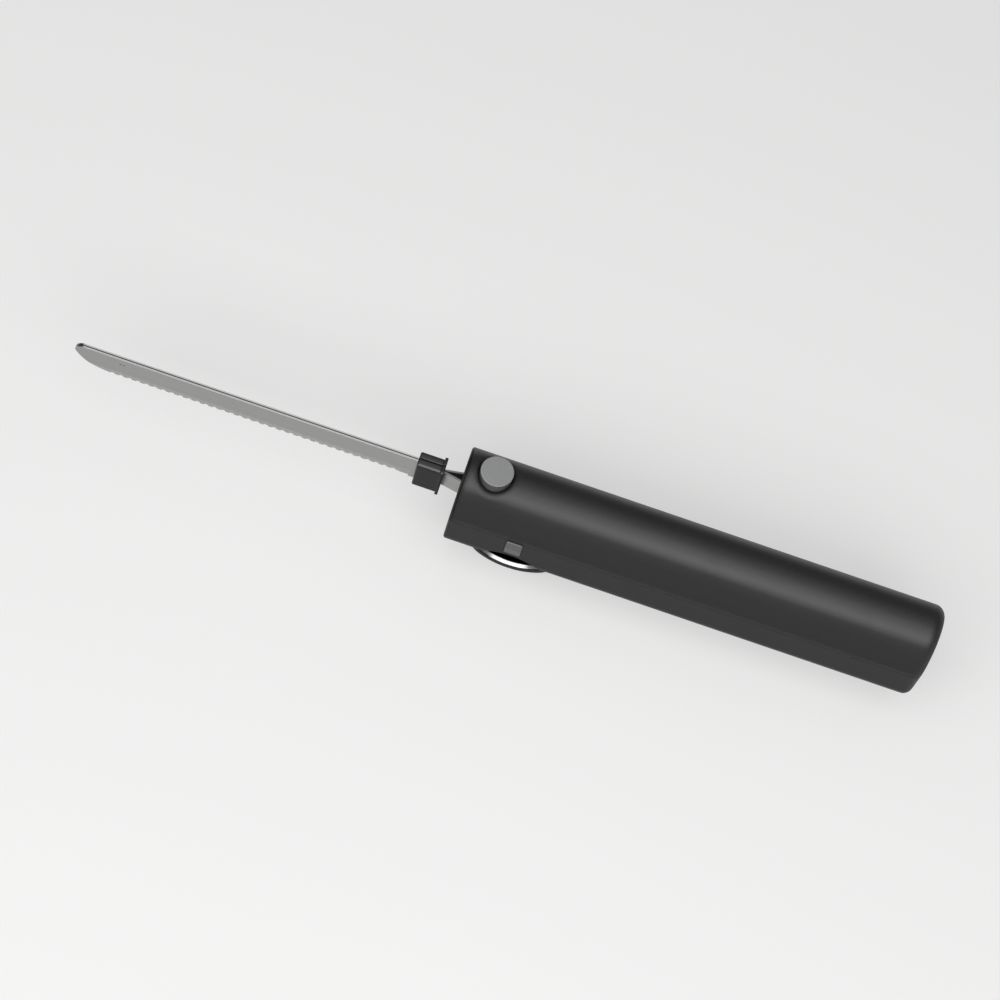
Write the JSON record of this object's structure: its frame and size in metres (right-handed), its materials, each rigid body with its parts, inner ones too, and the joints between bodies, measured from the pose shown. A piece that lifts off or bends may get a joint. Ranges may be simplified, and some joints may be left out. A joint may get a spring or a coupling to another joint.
{
  "type": "electric carving knife",
  "caption": "Cordless electric carving knife with a slim round-backed handle, a finger ring below it and two scalloped blades that saw against each other.",
  "frame": {"origin": "centre of the knife's bounding box in X and Y, at the lowest point of the finger ring in Z", "axes": "+X back along the handle from the blades' nose, +Z from the cutting edge to the spine, +Y across to the side away from the lock button"},
  "size_m": [0.4533, 0.0421, 0.0737],
  "materials": {
    "housing": "satin metallic dark grey lacquer",
    "bezel": "gloss black",
    "ring": "satin dark grey",
    "liner": "bright plated",
    "button": "satin silver grey lacquer",
    "lock": "satin grey lacquer",
    "trigger": "fine matt",
    "collar": "satin black-grey",
    "blade": "ground stainless steel",
    "rivet": "stainless",
    "slider": "natural low-friction plastic",
    "spring": "drawn spring wire",
    "leaf": "rolled spring strip",
    "screw": "zinc plated",
    "steel": "ground",
    "gear": "natural acetal",
    "brass": "turned",
    "frame": "glass-filled moulding",
    "zinc": "zinc plated drawn steel",
    "magnet": "sintered ferrite",
    "winding": "enamelled copper over steel",
    "cap": "moulded",
    "cell": "shrink sleeve",
    "tray": "moulded",
    "nickel": "nickel strip",
    "board": "solder mask",
    "chips": "moulded",
    "switch": "moulded",
    "plunger": "moulded",
    "inlet": "moulded",
    "lamp": "diffusing green"
  },
  "bodies": {
    "handle": {"upper_housing": "housing", "lower_housing": "housing", "nose_bezel": "bezel", "finger_guard": "ring", "guard_liner": "liner", "guard_screws": "screw", "trigger_pin": "steel", "trigger_spring": "spring", "trigger_switch": "switch", "lock_spring": "spring", "lock_switch": "switch", "switch_terminals": "brass", "release_spring": "spring", "wheel_axle": "steel", "gear_frame": "frame", "frame_cover": "frame", "worm_bush": "brass", "motor_screws": "screw", "motor_can": "zinc", "motor_magnets": "magnet", "motor_end_cap": "cap", "motor_terminals": "brass", "battery_cell_lower": "cell", "battery_cell_upper": "cell", "battery_tray": "tray", "contact_strips": "nickel", "circuit_board": "board", "board_components": "chips", "charging_inlet": "inlet", "charge_lamp": "lamp", "housing_screws": "screw"},
    "drive": {"worm": "brass", "motor_shaft": "steel", "motor_rotor": "winding"},
    "eccentric_wheel": {"drive_wheel": "gear"},
    "left_carriage": {"carriage_left": "gear", "latch_leaf_left": "leaf", "latch_rivet_left": "steel"},
    "right_carriage": {"carriage_right": "gear", "latch_leaf_right": "leaf", "latch_rivet_right": "steel"},
    "left_blade": {"blade_left": "blade", "collar_left": "collar"},
    "right_blade": {"blade_right": "blade", "blade_rivet": "rivet", "collar_right": "collar"},
    "release": {"release_button": "button", "release_plunger": "frame"},
    "lock": {"lock_button": "lock"},
    "lock_contact": {"lock_plunger": "plunger"},
    "trigger_lever": {"trigger": "trigger"},
    "trigger_contact": {"trigger_plunger": "plunger"}
  },
  "joints": [
    {"name": "motor_spin", "type": "hinge", "parent": "handle", "child": "drive", "pos_m": [0.04675, 0, 0.0358], "axis": [1, 0, 0], "range_deg": [-1440, 1440]},
    {"name": "wheel_turn", "type": "hinge", "parent": "handle", "child": "eccentric_wheel", "pos_m": [0.04675, 0, 0.047], "axis": [0, 1, 0], "range_deg": [-90, 90]},
    {"name": "left_stroke", "type": "slide", "parent": "handle", "child": "left_carriage", "axis": [1, 0, 0], "range_m": [-0.0045, 0.0045]},
    {"name": "right_stroke", "type": "slide", "parent": "handle", "child": "right_carriage", "axis": [1, 0, 0], "range_m": [-0.0045, 0.0045]},
    {"name": "blade_pull_left", "type": "slide", "parent": "left_carriage", "child": "left_blade", "axis": [-1, 0, 0], "range_m": [0, 0.03]},
    {"name": "blade_pull_right", "type": "slide", "parent": "right_carriage", "child": "right_blade", "axis": [-1, 0, 0], "range_m": [0, 0.03]},
    {"name": "release_press", "type": "slide", "parent": "handle", "child": "release", "axis": [0, 0, -1], "range_m": [0, 0.0025], "stiffness_N_per_m": 900, "springref_m": -0.0008, "deforming": ["release_spring"]},
    {"name": "lock_press", "type": "slide", "parent": "handle", "child": "lock", "axis": [0, 1, 0], "range_m": [0, 0.0015], "stiffness_N_per_m": 400, "springref_m": -0.0005, "deforming": ["lock_spring"]},
    {"name": "lock_contact_press", "type": "slide", "parent": "handle", "child": "lock_contact", "axis": [0, 1, 0], "range_m": [0, 0.0015]},
    {"name": "trigger_squeeze", "type": "hinge", "parent": "handle", "child": "trigger_lever", "pos_m": [-0.00225, 0, 0.0345], "axis": [0, -1, 0], "range_deg": [0, 5], "stiffness_Nm_per_rad": 1.2, "springref_deg": -1.72, "deforming": ["trigger_spring"]},
    {"name": "trigger_contact_press", "type": "slide", "parent": "handle", "child": "trigger_contact", "axis": [0, 0, 1], "range_m": [0, 0.00166]}
  ],
  "couplings": [
    {"joint": "wheel_turn", "follows": "motor_spin", "ratio": 0.0625},
    {"joint": "left_stroke", "follows": "motor_spin", "m_per_rad": 0.00017905},
    {"joint": "right_stroke", "follows": "motor_spin", "m_per_rad": -0.00017905},
    {"joint": "blade_pull_right", "follows": "blade_pull_left", "ratio": 1},
    {"joint": "lock_contact_press", "follows": "lock_press", "ratio": 1},
    {"joint": "trigger_contact_press", "follows": "trigger_squeeze", "m_per_rad": 0.019}
  ]
}
